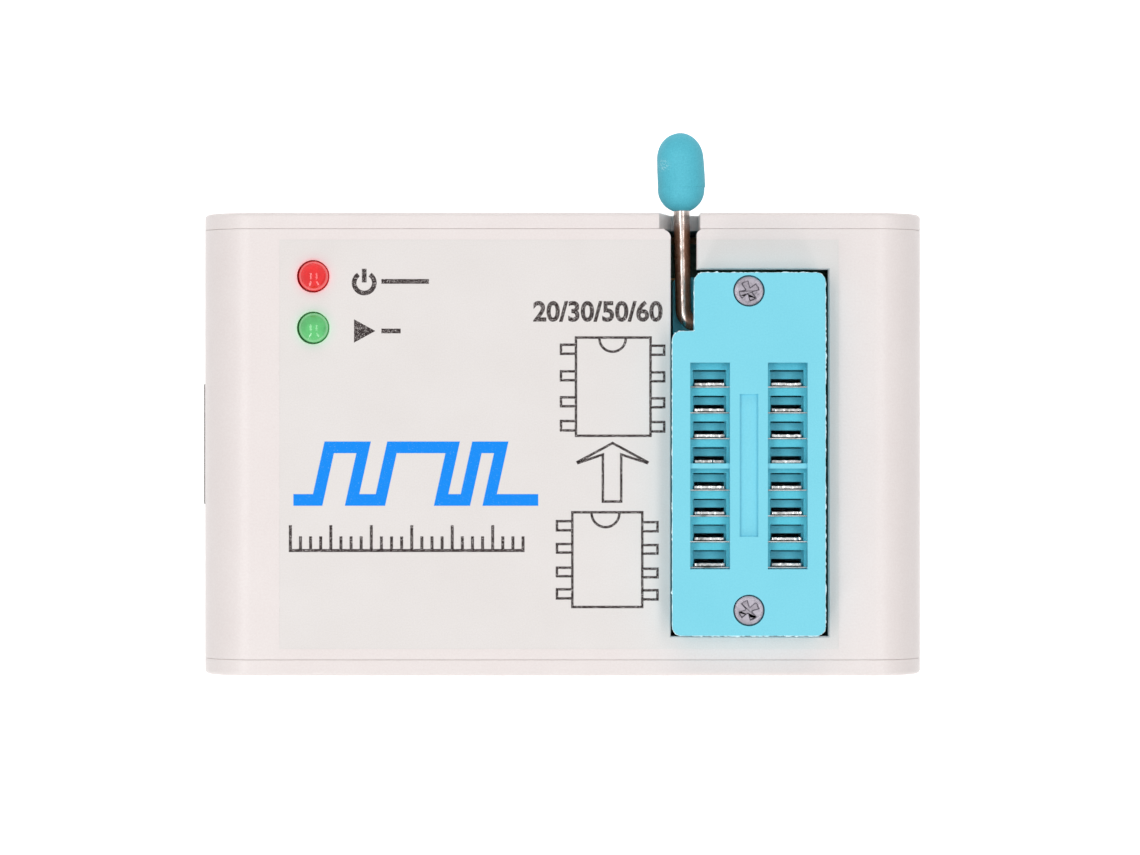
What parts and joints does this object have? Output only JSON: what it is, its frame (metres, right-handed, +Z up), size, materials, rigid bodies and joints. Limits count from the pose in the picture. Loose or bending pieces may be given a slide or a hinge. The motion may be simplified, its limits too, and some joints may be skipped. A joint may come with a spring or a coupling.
{
  "type": "usb microcontroller programmer",
  "caption": "Small white box with a lever-operated chip socket on top, indicator lamps and a USB type B inlet, for writing memory chips and microcontrollers.",
  "frame": {"origin": "middle of the case's flat underside", "axes": "+X to the right, away from the USB inlet; +Y to the back, where the lever's knob stands out; +Z up"},
  "size_m": [0.0717, 0.0539, 0.026],
  "materials": {
    "case_plastic": "fine moulded texture",
    "label_film": "satin film",
    "socket_plastic": "smooth moulded",
    "knob_plastic": "smooth moulded",
    "rod_steel": "drawn wire",
    "contact_nickel": "plated strip",
    "screw_steel": "zinc plated",
    "board_laminate": "solder mask",
    "usb_metal": "tin plated sheet",
    "black_plastic": "moulded",
    "contact_gold": "gold plated",
    "red_lens": "tinted resin",
    "green_lens": "tinted resin",
    "lead_tin": "tinned",
    "can_metal": "drawn can",
    "ceramic_body": "fired ceramic"
  },
  "bodies": {
    "housing": {"bottom_shell": "case_plastic", "top_shell": "case_plastic", "label_overlay": "label_film", "main_board": "board_laminate", "usb_shell": "usb_metal", "usb_insulator": "black_plastic", "usb_contacts": "contact_gold", "led_red": "red_lens", "led_green": "green_lens", "led_leads": "lead_tin", "zif_base": "socket_plastic", "zif_cover": "socket_plastic", "cover_screws": "screw_steel", "contact_posts": "contact_nickel", "socket_strips": "black_plastic", "strip_pins": "contact_gold", "microcontroller": "black_plastic", "microcontroller_leads": "lead_tin", "buffer_chips": "black_plastic", "buffer_leads": "lead_tin", "crystal": "can_metal", "voltage_regulator": "black_plastic", "regulator_leads": "lead_tin", "filter_capacitors": "can_metal", "chip_resistors": "black_plastic", "chip_capacitors": "ceramic_body", "board_screws": "screw_steel", "case_screws": "screw_steel"},
    "lever": {"lever_rod": "rod_steel", "lever_knob": "knob_plastic"},
    "slider": {"zif_slider": "socket_plastic", "contact_springs": "contact_nickel"}
  },
  "joints": [
    {"name": "lever_hinge", "type": "hinge", "parent": "housing", "child": "lever", "pos_m": [0.0183, 0.012, 0.0201], "axis": [1, 0, 0], "range_deg": [0, 90]},
    {"name": "slider_slide", "type": "slide", "parent": "housing", "child": "slider", "axis": [0, -1, 0], "range_m": [0, 0.0008]}
  ],
  "couplings": [
    {"joint": "lever_hinge", "follows": "slider_slide", "rad_per_m": 1963.4}
  ]
}
